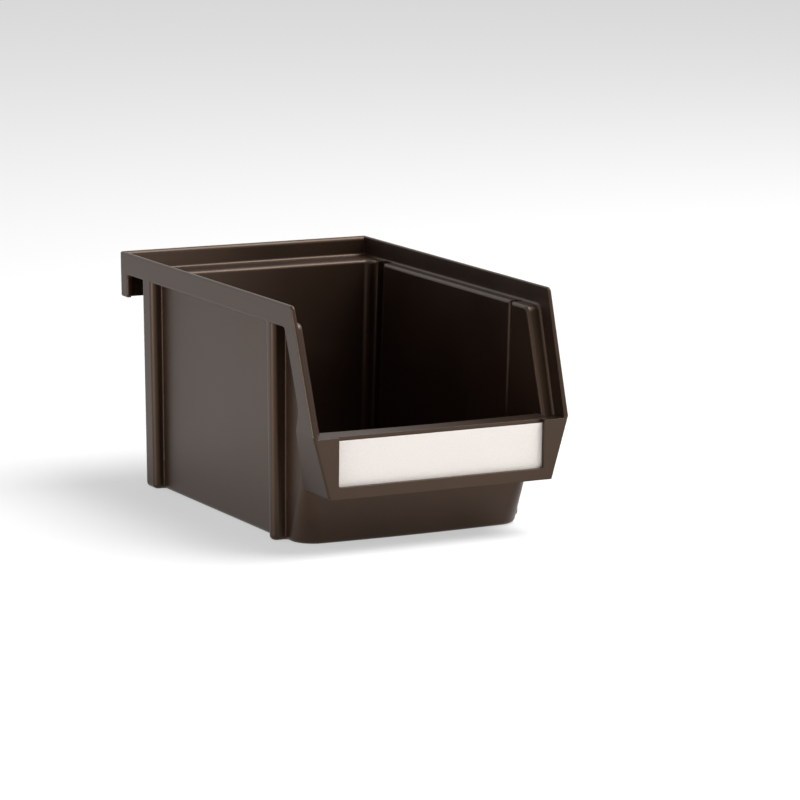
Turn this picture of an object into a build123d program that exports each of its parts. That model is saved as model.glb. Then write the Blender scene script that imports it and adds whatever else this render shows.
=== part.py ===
from build123d import *
from math import atan, cos, radians, sin, sqrt, tan
import os

# Open-front hopper bin with a hanging rim at the rear and a label pocket in front.
# Millimetres. X runs across the bin, +Y to the rear, +Z up. The origin is under the
# middle of the bin, on the surface that it stands on.

# Overall size
width = 165.0
length = 250.0
height = 137.0

# Walls of the moulding
wall = 2.5
rim_wall = 2.2
rear_rim_wall = 3.8
web_wall = 1.8

# Draft of the side faces, from the rim's top down, outside and inside the rim
side_draft = 1.35
rim_inner_draft = 1.9

# Rim band that runs along both sides, the rear and down the slanted front edges
rim_height = 13.2
mouth_setback = 25.0
mouth_corner_radius = 3.0
rim_edge_radius = 1.2
rim_inner_radius = 0.8
rear_inner_radius = 2.4
ledge_foot_radius = 1.5
ledge_inner_radius = 2.0
ledge_bend_radius = 5.0

# Front lip and label frame
lip_height = 67.5
lip_drop = 1.1
lip_roll = 3.0
lip_roll_steps = 5
lip_wall = 2.4
frame_bottom = 32.0
frame_foot_width = 141.6
frame_wall = 2.4

# Cheeks that join the slanted bands to the label frame
cheek_rise = 12.5
cheek_top_radius = 8.0
cheek_foot = 32.0
cheek_corner_radius = 2.0
band_bend_radius = 2.5

# Tub below the rim
panel_recess_top = 6.9
panel_draft = 1.0
rear_draft = 0.5
front_tuck = 1.8
front_foot = 33.4
front_top = 18.3
front_bow = 2.5
bow_peak = 1.6
rear_gap = 21.5
rear_corner_radius = 4.5
inner_rear_radius = 4.0
floor_edge_radius = 2.5

# Front corners of the tub, large at the floor and small at the lip
foot_corner_radius = 15.0
frame_corner_radius = 7.0
lip_corner_radius = 3.5

# Posts on the side walls, measured from the nose and from the rear wall
front_post_start = 48.4
front_post_end = 58.2
front_post_draft = 0.9
rear_post_margin = 7.6
rear_post_width = 14.6
post_edge_radius = 3.5
post_foot_radius = 0.7
post_groove_margin = 0.3
groove_mouth_radius = 2.4

# Hook that hangs from the rear rim
hook_depth = 27.0
tab_reach = 9.7
tab_corner_radius = 2.0

# Label window, pocket and card
window_width = 130.0
window_sill = 6.5
window_corner_radius = 1.6
pocket_gap = 1.2
pocket_floor = 4.5
pocket_back = 2.2
pocket_side_clearance = 0.8
card_width = 136.0
card_thickness = 0.8
card_top_drop = 3.3

# Places worked out from the sizes above
nose = -length / 2
rear = length / 2
half_width = width / 2
inner_rear = rear - rear_rim_wall
ledge_depth = rim_height - web_wall
ledge_top = height - ledge_depth
band_bottom = height - rim_height
hook_bottom = height - hook_depth
hood_top = lip_height + cheek_rise
slant_rise = height - lip_height
slant_cos = slant_rise / sqrt(mouth_setback**2 + slant_rise**2)
lip_top = lip_height - lip_drop
tub_split = lip_top - lip_wall / 2
tub_top = band_bottom + rim_height / 3
hollow_top = lip_top - lip_wall
slot_floor = frame_bottom + pocket_floor
slot_width = card_width + 2 * pocket_side_clearance
slot_middle = nose + frame_wall + pocket_gap / 2
# what the rounded top edge takes off the leaning sides is added back, so the width is met
side_ease = rim_edge_radius * (tan(radians(side_draft)) + 1 / cos(radians(side_draft)) - 1)
# how far the cutting shapes run past the body
beyond = 20.0
# how close an edge lies to the place that it is picked by, and a bent one to its side
near = 0.01
side_near = 0.3
# how far the grooved shape stays inside the smooth hopper that it is cut after
groove_lead = 0.05
# half the length of the slope that joins the two widths of the smooth hopper, and its rounds
mouth_step = 2.6
mouth_step_radius = 5.0


def slant_line(depth, z):
    """Y on the line that lies the given depth behind the slanted front edge."""
    return nose + (z - lip_height) * mouth_setback / slant_rise + depth / slant_cos


def panel_at(z):
    """Half the width over the side panels at a height."""
    return half_width - panel_recess_top - (band_bottom - z) * tan(radians(panel_draft))


def side_at(z):
    """Half the width over the rim band and the side posts at a height."""
    return half_width + side_ease - (height - z) * tan(radians(side_draft))


def rim_inner_at(z):
    """Half the width inside the rim band at a height."""
    return half_width - rim_wall - (height - z) * tan(radians(rim_inner_draft))


def post_start_at(z):
    """How far behind the nose the front post's front face lies at a height."""
    return front_post_start + (height - z) * tan(radians(front_post_draft))


def back_at(z):
    """Y of the rear wall's outer face at a height."""
    return rear - rear_gap - (band_bottom - z) * tan(radians(rear_draft))


def front_at(z):
    """Y of the front wall's outer face, which leans out towards the lip."""
    return nose + front_foot + (front_top - front_foot) * z / lip_height


def cheek_at(z):
    """Half the width of the label frame at a height, narrower at its foot."""
    lean = (side_at(lip_height) - frame_foot_width / 2) / (lip_height - frame_bottom)
    return side_at(lip_height) - (lip_height - z) * lean


def corner_at(z):
    """Radius of the tub's front corners at a height."""
    if z < frame_bottom:
        return foot_corner_radius + (frame_corner_radius - foot_corner_radius) * z / frame_bottom
    share = min((z - frame_bottom) / (lip_height - frame_bottom), 1)
    return frame_corner_radius + (lip_corner_radius - frame_corner_radius) * share


def side_prism(points, radii, reach):
    """Prism across the bin from an outline drawn in the side view, (y, z)."""
    with BuildPart() as prism:
        with BuildSketch(Plane.YZ):
            with BuildLine():
                FilletPolyline(*points, radius=radii, close=True)
            make_face()
        extrude(amount=reach, both=True)
    return prism.part


def tub_outline(z, front, inset=0, rear_radius=rear_corner_radius):
    """Plan outline of the tub at one height, drawn in by the inset for the inside."""
    rear_post_end = rear - rear_gap - rear_post_margin
    rear_post_start = rear_post_end - rear_post_width
    side = panel_at(z) - inset
    front_side = side - front_tuck
    post_start = post_start_at(z)
    post = side_at(z)
    edge = post_edge_radius - inset
    foot = post_foot_radius
    if inset > 0:
        post = post - inset - post_groove_margin
        foot = groove_mouth_radius
    right = [
        (front_side, front + inset),
        (front_side, nose + post_start + inset),
        (post, nose + post_start + inset),
        (post, nose + front_post_end - inset),
        (side, nose + front_post_end - inset),
        (side, rear_post_start + inset),
        (post, rear_post_start + inset),
        (post, rear_post_end - inset),
        (side, rear_post_end - inset),
        (side, back_at(z) - inset),
    ]
    front_radius = corner_at(z) - inset
    radii = [front_radius, foot, edge, edge, foot, foot, edge, edge, foot, rear_radius]
    left = [(-x, y) for x, y in reversed(right)]
    peak = front_bow * bow_peak
    bow_radius = (peak - front_bow) / (1 / cos(atan(peak / front_side)) - 1)
    with BuildSketch(Plane.XY.offset(z)) as outline:
        with BuildLine():
            FilletPolyline(
                *right,
                *left,
                (0, front + inset - peak),
                radius=radii + radii[::-1] + [bow_radius],
                close=True,
            )
        make_face()
    return outline.sketch


def mouth_outline(z):
    """Plan outline of the smooth hopper at one height, open past the front."""
    side = panel_at(z) - wall
    front_side = side - front_tuck
    middle = nose + (post_start_at(z) + front_post_end) / 2
    right = [
        (front_side, nose - beyond),
        (front_side, middle - mouth_step),
        (side, middle + mouth_step),
        (side, back_at(z) - wall),
    ]
    radii = [0, mouth_step_radius, mouth_step_radius, inner_rear_radius]
    left = [(-x, y) for x, y in reversed(right)]
    with BuildSketch(Plane.XY.offset(z)) as outline:
        with BuildLine():
            FilletPolyline(*right, *left, radius=radii + radii[::-1], close=True)
        make_face()
    return outline.sketch


# Outer shape of the rim with its hook, the slanted fronts, the cheeks and the frame
rim_points = [
    (nose, frame_bottom),
    (nose, lip_height),
    (nose + mouth_setback, height),
    (rear, height),
    (rear, hook_bottom),
    (rear - tab_reach, hook_bottom),
    (rear - tab_reach, band_bottom),
    (slant_line(rim_height, band_bottom), band_bottom),
    (slant_line(rim_height, hood_top), hood_top),
    (nose + cheek_foot, frame_bottom),
]
rim_radii = [
    0,
    0,
    mouth_corner_radius,
    0,
    0,
    tab_corner_radius,
    tab_corner_radius,
    band_bend_radius,
    cheek_top_radius,
    cheek_corner_radius,
]
with BuildPart() as rim_block:
    add(side_prism(rim_points, rim_radii, width))
    with BuildSketch(Plane.XZ.offset(-rear - beyond)):
        with BuildLine():
            Polyline(
                (-cheek_at(frame_bottom), frame_bottom),
                (cheek_at(frame_bottom), frame_bottom),
                (side_at(lip_height), lip_height),
                (side_at(height), height),
                (-side_at(height), height),
                (-side_at(lip_height), lip_height),
                close=True,
            )
        make_face()
    extrude(amount=length + 2 * beyond, mode=Mode.INTERSECT)
    side_edges = rim_block.edges().filter_by(
        lambda e: abs(e.start_point().X - e.end_point().X) < half_width
        and abs(e.center().Z - lip_height) > near
        and abs(e.center().Z - frame_bottom) > near
    )
    rear_edges = rim_block.edges().filter_by(Axis.X).filter_by(
        lambda e: abs(e.center().Y - rear) < near
    )
    fillet(side_edges + rear_edges, rim_edge_radius)

# Space inside the rim and over the lip, with the mouth of the hopper, whose edge is rounded
space_bottom = lip_top - beyond
space_points = [
    (nose - beyond, space_bottom),
    (slant_line(ledge_depth, space_bottom), space_bottom),
    (slant_line(ledge_depth, ledge_top), ledge_top),
    (inner_rear, ledge_top),
    (inner_rear, height + beyond),
    (nose - beyond, height + beyond),
]
with BuildPart() as rim_space:
    add(side_prism(space_points, [0, 0, ledge_bend_radius, 0, 0, 0], half_width))
    with BuildSketch(Plane.XZ.offset(-rear - beyond)):
        with BuildLine():
            Polyline(
                (-rim_inner_at(space_bottom), space_bottom),
                (rim_inner_at(space_bottom), space_bottom),
                (rim_inner_at(height + beyond), height + beyond),
                (-rim_inner_at(height + beyond), height + beyond),
                close=True,
            )
        make_face()
    extrude(amount=length + 3 * beyond, mode=Mode.INTERSECT)
    for z in (space_bottom, ledge_top + ledge_foot_radius):
        add(mouth_outline(z))
    loft(ruled=True)
    side_feet = rim_space.edges().filter_by(
        lambda e: abs(abs(e.center().X) - rim_inner_at(e.center().Z)) < side_near
        and e.center().Z < height
        and nose - beyond + near < e.center().Y < inner_rear - near
    )
    rear_foot = rim_space.edges().filter_by(Axis.X).filter_by(
        lambda e: abs(e.center().Y - inner_rear) < near and abs(e.center().Z - ledge_top) < near
    )
    fillet(side_feet + rear_foot, ledge_foot_radius)
    mouth_edges = rim_space.edges().filter_by(
        lambda e: abs(e.center().X) < panel_at(ledge_top) - wall + near
        and abs(e.center().Z - ledge_top) < near
        and e.center().Y < back_at(ledge_top) - wall + near
        and e.center().Y > slant_line(ledge_depth, ledge_top) + ledge_bend_radius
    )
    fillet(mouth_edges, ledge_inner_radius)
    with BuildSketch(Plane.XY.offset(lip_top)):
        Rectangle(2 * width, 2 * length)
    extrude(amount=height, mode=Mode.INTERSECT)

# Tub below the lip, on its rounded floor edge
with BuildPart() as tub_lower:
    for z in (0, frame_bottom, tub_split):
        add(tub_outline(z, front_at(z)))
    loft(ruled=True)
    fillet(tub_lower.edges().group_by(Axis.Z)[0], floor_edge_radius)

# Tub above the lip, running up into the rim and ending behind the slanted fronts
slant_middle = rim_height / 2
keep_points = [
    (slant_line(slant_middle, tub_split), tub_split),
    (slant_line(slant_middle, tub_top), tub_top),
    (rear, tub_top),
    (rear, tub_split),
]
with BuildPart() as tub_upper:
    for z in (tub_split, band_bottom):
        add(tub_outline(z, nose))
    loft(ruled=True)
    add(tub_outline(band_bottom, nose))
    extrude(amount=tub_top - band_bottom)
    add(side_prism(keep_points, 0, width), mode=Mode.INTERSECT)
    add(rim_space.part, mode=Mode.SUBTRACT)

# Inside of the tub, open at the top and over the lip, which is rounded towards it
with BuildPart() as hopper_lower:
    for z in (wall, frame_bottom, lip_top - lip_roll):
        add(tub_outline(z, front_at(z), wall, inner_rear_radius))
    for step in range(1, lip_roll_steps + 1):
        turn = radians(90 * step / lip_roll_steps)
        z = lip_top - lip_roll * (1 - sin(turn))
        add(tub_outline(z, front_at(z) - lip_roll * (1 - cos(turn)), wall, inner_rear_radius))
    loft(ruled=True)
with BuildPart() as hopper_upper:
    for z in (lip_top, band_bottom, height):
        add(tub_outline(z, nose - beyond, wall + groove_lead, inner_rear_radius))
    loft(ruled=True)

# Space behind the label pocket, open below
hollow_front = nose + frame_wall + pocket_gap + pocket_back
hollow_bottom = frame_bottom - beyond
hollow_points = [
    (hollow_front, hollow_bottom),
    (hollow_front, hollow_top),
    (front_at(hollow_top) + wall / 2, hollow_top),
    (front_at(hollow_bottom) + wall / 2, hollow_bottom),
]
with BuildPart() as frame_hollow:
    add(side_prism(hollow_points, 0, half_width))
    with BuildSketch(Plane.XZ.offset(-rear)):
        with BuildLine():
            Polyline(
                (frame_wall - cheek_at(hollow_bottom), hollow_bottom),
                (cheek_at(hollow_bottom) - frame_wall, hollow_bottom),
                (cheek_at(hollow_top) - frame_wall, hollow_top),
                (frame_wall - cheek_at(hollow_top), hollow_top),
                close=True,
            )
        make_face()
    extrude(amount=length + beyond, mode=Mode.INTERSECT)

with BuildPart() as bin_body:
    add(rim_block.part)
    add(rim_space.part, mode=Mode.SUBTRACT)
    inner_edges = bin_body.edges().filter_by(
        lambda e: abs(abs(e.center().X) - rim_inner_at(e.center().Z)) < near
        and e.center().Z > lip_top + near
        and (
            abs(e.center().Z - height) < near
            or e.center().Y < slant_line(mouth_corner_radius / 2, e.center().Z)
        )
    )
    rear_inner_edges = bin_body.edges().filter_by(
        lambda e: abs(e.center().Y - inner_rear) < near and abs(e.center().Z - height) < near
    )
    fillet(rear_inner_edges, rear_inner_radius)
    fillet(inner_edges, rim_inner_radius)

    # hollow of the hook, open below
    with BuildSketch(Plane.XY.offset(hook_bottom - beyond)):
        with Locations((0, inner_rear - tab_reach)):
            Rectangle(2 * rim_inner_at(hook_bottom), 2 * tab_reach)
    extrude(amount=band_bottom - hook_bottom + beyond, mode=Mode.SUBTRACT)

    add(frame_hollow.part, mode=Mode.SUBTRACT)
    add(tub_lower.part)
    add(tub_upper.part)
    add(hopper_lower.part, mode=Mode.SUBTRACT)
    add(hopper_upper.part, mode=Mode.SUBTRACT)

    # window, open at its top
    with BuildSketch(Plane.XZ.offset(-nose)):
        with BuildLine():
            FilletPolyline(
                (-window_width / 2, frame_bottom + window_sill),
                (window_width / 2, frame_bottom + window_sill),
                (window_width / 2, lip_height + wall),
                (-window_width / 2, lip_height + wall),
                radius=[window_corner_radius, window_corner_radius, 0, 0],
                close=True,
            )
        make_face()
    extrude(amount=-frame_wall, mode=Mode.SUBTRACT)

    # slot behind the window that the card stands in
    with BuildSketch(Plane.XY.offset(slot_floor)):
        with Locations((0, slot_middle)):
            Rectangle(slot_width, pocket_gap)
    extrude(amount=lip_height - slot_floor + wall, mode=Mode.SUBTRACT)

with BuildPart() as label_card:
    with BuildSketch(Plane.XY.offset(slot_floor)):
        with Locations((0, slot_middle)):
            Rectangle(card_width, card_thickness)
    extrude(amount=lip_height - card_top_drop - slot_floor)

os.makedirs("parts", exist_ok=True)
bin_body.part.label = "bin_body"
export_step(bin_body.part, "parts/bin_body.step")
label_card.part.label = "label_card"
export_step(label_card.part, "parts/label_card.step")
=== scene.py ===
import math
import bmesh
import bpy
from mathutils import Matrix, Vector


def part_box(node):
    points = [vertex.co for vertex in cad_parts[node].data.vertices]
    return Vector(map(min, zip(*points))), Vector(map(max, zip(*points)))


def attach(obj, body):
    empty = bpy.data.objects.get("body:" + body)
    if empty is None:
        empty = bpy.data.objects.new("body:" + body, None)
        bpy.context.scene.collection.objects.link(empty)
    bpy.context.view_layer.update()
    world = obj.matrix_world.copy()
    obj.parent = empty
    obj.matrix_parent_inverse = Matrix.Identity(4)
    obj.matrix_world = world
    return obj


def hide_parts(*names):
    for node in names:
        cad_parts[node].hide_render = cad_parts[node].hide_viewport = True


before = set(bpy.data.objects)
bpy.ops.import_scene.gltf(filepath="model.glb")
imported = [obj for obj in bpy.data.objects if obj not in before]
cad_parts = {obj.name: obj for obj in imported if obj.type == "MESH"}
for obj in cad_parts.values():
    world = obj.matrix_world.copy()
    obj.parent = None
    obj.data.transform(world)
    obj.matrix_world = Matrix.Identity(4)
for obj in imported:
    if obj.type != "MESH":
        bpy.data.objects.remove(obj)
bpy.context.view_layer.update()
mm = 0.001  # the scene is in metres


def hexToLinear(code):
    values = [int(code[i:i + 2], 16) / 255 for i in (1, 3, 5)]
    return [v / 12.92 if v <= 0.04045 else ((v + 0.055) / 1.055) ** 2.4 for v in values] + [1.0]


# Adds a node. A setting is an input's value when the node has an input of that name or
# number, and else a property. A link goes from an output to the input that it names
def addNode(tree, kind, settings=None, links=None):
    node = tree.nodes.new(kind)
    for name, value in (settings or {}).items():
        if isinstance(name, int) or name in node.inputs:
            node.inputs[name].default_value = value
        else:
            setattr(node, name, value)
    for name, source in (links or {}).items():
        tree.links.new(source, node.inputs[name])
    return node


def newMaterial(name):
    material = bpy.data.materials.new(name)
    material.use_nodes = True
    material.node_tree.nodes.clear()
    return material, material.node_tree


# Soft noise with cells of about the given size
def addNoise(tree, place, size, detail):
    settings = {"Scale": 1 / size, "Detail": detail}
    return addNode(tree, "ShaderNodeTexNoise", settings, {"Vector": place}).outputs["Fac"]


# Two colours that follow a noise, plain beyond the two stops and blended between them
def addTint(tree, noise, stops, codes):
    ramp = addNode(tree, "ShaderNodeValToRGB", {}, {"Fac": noise})
    for point, place, code in zip(ramp.color_ramp.elements, stops, codes):
        point.position = place
        point.color = hexToLinear(code)
    return ramp.outputs["Color"]


# The bin is one moulding, so the CAD node stays and gets its finish here
plastic = {
    "colors": ("#1a100b", "#23160f"),  # dark warm brown, a little uneven
    "colorStops": (0.35, 0.65),
    "sheen": "#ffdcc0",  # tint of the reflections seen straight on
    "roughness": (0.31, 0.42),
    "ior": 1.49,
    "cloudSize": 45 * mm,
    "cloudDetail": 3.0,
    "waveSize": 32 * mm,  # shrink marks
    "waveDetail": 1.0,
    "waveDepth": 0.08 * mm,
    "grainSize": 0.9 * mm,  # real grain is about 0.1 mm, too fine to show, so it is coarser
    "grainDetail": 2.0,
    "grainDepth": 0.006 * mm,
    "edgeRadius": 0.45 * mm,
    "edgeSamples": 6,
}


# ABS, injection moulded in a lightly polished steel mould: a soft gloss, a little wavy where
# the plastic shrank, with an even, very fine grain and small rounds on every edge
def mouldedBrownAbs():
    material, tree = newMaterial("mouldedBrownAbs")
    place = addNode(tree, "ShaderNodeTexCoord").outputs["Object"]
    cloud = addNoise(tree, place, plastic["cloudSize"], plastic["cloudDetail"])
    tint = addTint(tree, cloud, plastic["colorStops"], plastic["colors"])
    low, high = plastic["roughness"]
    gloss = addNode(tree, "ShaderNodeMapRange", {"To Min": low, "To Max": high}, {"Value": cloud})
    rounded = addNode(
        tree, "ShaderNodeBevel",
        {"samples": plastic["edgeSamples"], "Radius": plastic["edgeRadius"]},
    )
    wave = addNoise(tree, place, plastic["waveSize"], plastic["waveDetail"])
    waveBump = addNode(
        tree, "ShaderNodeBump", {"Distance": plastic["waveDepth"]},
        {"Height": wave, "Normal": rounded.outputs["Normal"]},
    )
    grain = addNoise(tree, place, plastic["grainSize"], plastic["grainDetail"])
    grainBump = addNode(
        tree, "ShaderNodeBump", {"Distance": plastic["grainDepth"]},
        {"Height": grain, "Normal": waveBump.outputs["Normal"]},
    )
    shader = addNode(
        tree, "ShaderNodeBsdfPrincipled",
        {"IOR": plastic["ior"], "Specular Tint": hexToLinear(plastic["sheen"])},
        {
            "Base Color": tint,
            "Roughness": gloss.outputs["Result"],
            "Normal": grainBump.outputs["Normal"],
        },
    )
    addNode(tree, "ShaderNodeOutputMaterial", {}, {"Surface": shader.outputs["BSDF"]})
    return material


card = {
    "colors": ("#dbd3cd", "#e2dbd6"),  # a white that stays just below plain white in the light
    "colorStops": (0.3, 0.7),
    "roughness": 0.55,
    "fibreSize": 0.8 * mm,  # real fibre is about 0.03 mm thick, so this is coarser, to show
    "fibreDetail": 4.0,
    "fibreDepth": 0.01 * mm,
    "thickness": 0.5 * mm,
    "cornerRadius": 1.0 * mm,
    "cornerSteps": 6,
    "columns": 40,  # how finely the bend is divided along the strip
    "bow": 0.25 * mm,
    "bevel": 0.08 * mm,
    "bevelSegments": 2,
    "smoothAngle": 30,
}


# Coated card, cut from a sheet: flat white, with a faint fibre, so that it does not look
# like plastic
def coatedCard():
    material, tree = newMaterial("coatedCard")
    place = addNode(tree, "ShaderNodeTexCoord").outputs["Object"]
    fibre = addNoise(tree, place, card["fibreSize"], card["fibreDetail"])
    tint = addTint(tree, fibre, card["colorStops"], card["colors"])
    bump = addNode(tree, "ShaderNodeBump", {"Distance": card["fibreDepth"]}, {"Height": fibre})
    shader = addNode(
        tree, "ShaderNodeBsdfPrincipled", {"Roughness": card["roughness"]},
        {"Base Color": tint, "Normal": bump.outputs["Normal"]},
    )
    addNode(tree, "ShaderNodeOutputMaterial", {}, {"Surface": shader.outputs["BSDF"]})
    return material


# The strip's outline seen from the front, round its middle: a rectangle with rounded corners
def cardOutline(halfWide, halfTall):
    radius = card["cornerRadius"]
    points = []
    for corner, (sideX, sideZ) in enumerate([(1, 1), (-1, 1), (-1, -1), (1, -1)]):
        for step in range(card["cornerSteps"] + 1):
            turn = math.radians(90 * (corner + step / card["cornerSteps"]))
            x = sideX * (halfWide - radius) + radius * math.cos(turn)
            z = sideZ * (halfTall - radius) + radius * math.sin(turn)
            points.append((x, z))
    return points


# The strip bends a little in its slot, so its face is not dead flat like the frame round it
def cutCard():
    low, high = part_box("label_card")
    halfWide, halfTall = (high[0] - low[0]) / 2, (high[2] - low[2]) / 2
    middleY, middleZ = (low[1] + high[1]) / 2, (low[2] + high[2]) / 2
    mesh = bmesh.new()
    ring = [
        mesh.verts.new((x, -card["thickness"] / 2, middleZ + z))
        for x, z in cardOutline(halfWide, halfTall)
    ]
    face = mesh.faces.new(ring)
    back = bmesh.ops.extrude_face_region(mesh, geom=[face])
    for vert in back["geom"]:
        if isinstance(vert, bmesh.types.BMVert):
            vert.co.y += card["thickness"]
    for column in range(1, card["columns"]):
        x = halfWide * (2 * column / card["columns"] - 1)
        everything = mesh.verts[:] + mesh.edges[:] + mesh.faces[:]
        bmesh.ops.bisect_plane(mesh, geom=everything, plane_co=(x, 0, 0), plane_no=(1, 0, 0))
    for vert in mesh.verts:  # half of the bend goes forward in the middle, half back at the ends
        vert.co.y += middleY + card["bow"] * ((vert.co.x / halfWide) ** 2 - 0.5)
    bmesh.ops.recalc_face_normals(mesh, faces=mesh.faces)
    data = bpy.data.meshes.new("card_strip")
    mesh.to_mesh(data)
    mesh.free()
    data.shade_smooth()
    data.set_sharp_from_angle(angle=math.radians(card["smoothAngle"]))
    data.materials.append(coatedCard())
    strip = bpy.data.objects.new("card_strip", data)
    bevel = strip.modifiers.new("cut edge", "BEVEL")
    bevel.width = card["bevel"]
    bevel.segments = card["bevelSegments"]
    bevel.limit_method = "ANGLE"
    bpy.context.scene.collection.objects.link(strip)
    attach(strip, "card")
    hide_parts("label_card")


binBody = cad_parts["bin_body"]
binBody.data.materials.clear()
binBody.data.materials.append(mouldedBrownAbs())
print("plastic on the bin")
cutCard()
print("card strip")

# The camera stands where the photograph was taken from. Its values come from a fit to the
# corners and lines measured in the photo
view = {
    "azimuth": -28.557,  # degrees, from straight in front
    "elevation": 10.525,
    "roll": 0.723,
    "distance": 2269.8 * mm,
    "target": Vector((0, -74.25, 74.16)) * mm,
    "focalPixels": 4019.7,
    "photoPixels": 800,
    "sensorWidth": 36,  # mm on the sensor, the camera's own unit
    "farthest": 50,  # metres, past the floor's far edge
}


def placeCamera():
    azimuth, elevation, roll = (math.radians(view[k]) for k in ("azimuth", "elevation", "roll"))
    back = Vector((
        math.sin(azimuth) * math.cos(elevation),
        -math.cos(azimuth) * math.cos(elevation),
        math.sin(elevation),
    ))
    side = Vector((0, 0, 1)).cross(back).normalized()
    top = back.cross(side)
    right = side * math.cos(roll) + top * math.sin(roll)
    up = top * math.cos(roll) - side * math.sin(roll)
    data = bpy.data.cameras.new("camera")
    data.sensor_width = view["sensorWidth"]
    data.lens = view["focalPixels"] / view["photoPixels"] * view["sensorWidth"]
    data.clip_end = view["farthest"]
    camera = bpy.data.objects.new("camera", data)
    place = Matrix.Translation(view["target"] + back * view["distance"])
    turn = Matrix((right, up, back)).transposed().to_4x4()
    camera.matrix_world = place @ turn
    bpy.context.scene.collection.objects.link(camera)
    bpy.context.scene.camera = camera


placeCamera()
print("camera")

studio = {
    "white": "#ffffff",
    "floorColor": "#fcfcfc",
    "floorSize": 24.0,  # metres
    "floorDrop": 0.1 * mm,  # so that the floor and the bin's underside do not share a plane
    "floorGlow": 0.48,  # share of plain white in the floor, which makes the shadow paler
    "ambient": 0.3,  # what the sky gives as light, where 1 is what it shows
    "lampTarget": Vector((0, 0, 60)) * mm,
}


# 1 for a ray that shows the background itself: straight, mirrored or through something clear
def seenDirectly(tree):
    path = addNode(tree, "ShaderNodeLightPath")
    seen = path.outputs["Is Camera Ray"]
    for ray in ("Is Glossy Ray", "Is Transmission Ray"):
        either = addNode(
            tree, "ShaderNodeMath", {"operation": "MAXIMUM"}, {0: seen, 1: path.outputs[ray]})
        seen = either.outputs[0]
    return seen


def layFloor():
    half = studio["floorSize"] / 2
    corners = [(-half, -half, 0), (half, -half, 0), (half, half, 0), (-half, half, 0)]
    mesh = bpy.data.meshes.new("floor")
    mesh.from_pydata(corners, [], [(0, 1, 2, 3)])
    floor = bpy.data.objects.new("floor", mesh)
    floor.location.z = -studio["floorDrop"]
    bpy.context.scene.collection.objects.link(floor)
    material, tree = newMaterial("paleSweep")  # matt white paper, with no edge or gloss to see
    diffuse = addNode(
        tree, "ShaderNodeBsdfDiffuse", {"Color": hexToLinear(studio["floorColor"])})
    glow = addNode(
        tree, "ShaderNodeEmission", {"Color": hexToLinear(studio["white"]), "Strength": 1.0})
    share = addNode(
        tree, "ShaderNodeMath", {"operation": "MULTIPLY", 1: studio["floorGlow"]},
        {0: seenDirectly(tree)},
    )
    mix = addNode(
        tree, "ShaderNodeMixShader", {},
        {0: share.outputs[0], 1: diffuse.outputs[0], 2: glow.outputs[0]},
    )
    addNode(tree, "ShaderNodeOutputMaterial", {}, {"Surface": mix.outputs[0]})
    mesh.materials.append(material)


# The sky shows as plain white and lights the part with its ambient share
def lightWorld():
    world = bpy.data.worlds.new("studio")
    world.use_nodes = True
    tree = world.node_tree
    tree.nodes.clear()
    strength = addNode(
        tree, "ShaderNodeMapRange", {"To Min": studio["ambient"], "To Max": 1.0},
        {"Value": seenDirectly(tree)},
    )
    sky = addNode(
        tree, "ShaderNodeBackground", {"Color": hexToLinear(studio["white"])},
        {"Strength": strength.outputs["Result"]},
    )
    addNode(tree, "ShaderNodeOutputWorld", {}, {"Surface": sky.outputs[0]})
    bpy.context.scene.world = world


# Metres and watts. The large key hangs high on the right and lays the shadow to the left.
# The two low strips give the left side panel and the front their sheen
lamps = {
    "key": {"from": (1.0, -0.5, 2.1), "size": (1.6, 1.6), "power": 70},
    "left": {"from": (-1.5, -0.2, 0.09), "size": (1.0, 0.16), "power": 12},
    "front": {"from": (0.6, -1.5, 0.05), "size": (1.0, 0.09), "power": 3.5},
}


def hangLamps():
    for name, lamp in lamps.items():
        data = bpy.data.lights.new(name, "AREA")
        data.shape = "RECTANGLE"
        data.size, data.size_y = lamp["size"]
        data.energy = lamp["power"]
        light = bpy.data.objects.new(name, data)
        place = Vector(lamp["from"])
        light.location = place
        light.rotation_euler = (studio["lampTarget"] - place).to_track_quat("-Z", "Y").to_euler()
        bpy.context.scene.collection.objects.link(light)


layFloor()
lightWorld()
hangLamps()
bpy.context.scene.view_settings.view_transform = "Standard"
print("floor and light")
